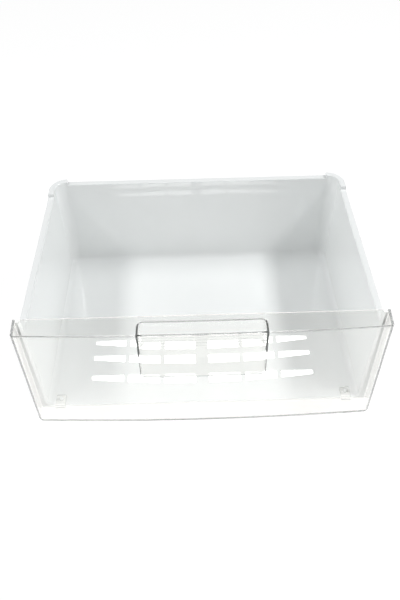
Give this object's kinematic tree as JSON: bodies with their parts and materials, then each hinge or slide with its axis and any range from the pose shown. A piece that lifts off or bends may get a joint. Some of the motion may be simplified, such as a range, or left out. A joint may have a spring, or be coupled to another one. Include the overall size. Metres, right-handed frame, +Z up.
{
  "type": "freezer drawer",
  "caption": "Open-topped freezer drawer: pale plastic tub with slotted floor, closed at the front by a clear bowed clip-fitted cover with a finger pocket as handle.",
  "frame": {"origin": "on the ground under the middle of the drawer's bounding box", "axes": "-Y to the front cover that is pulled, +X to the right as seen from in front of that cover, +Z up"},
  "size_m": [0.4348, 0.3273, 0.17],
  "materials": {
    "tub_plastic": "satin",
    "clear_plastic": "clear, polished"
  },
  "bodies": {
    "root": {"tub": "tub_plastic", "front_cover": "clear_plastic"}
  },
  "joints": []
}
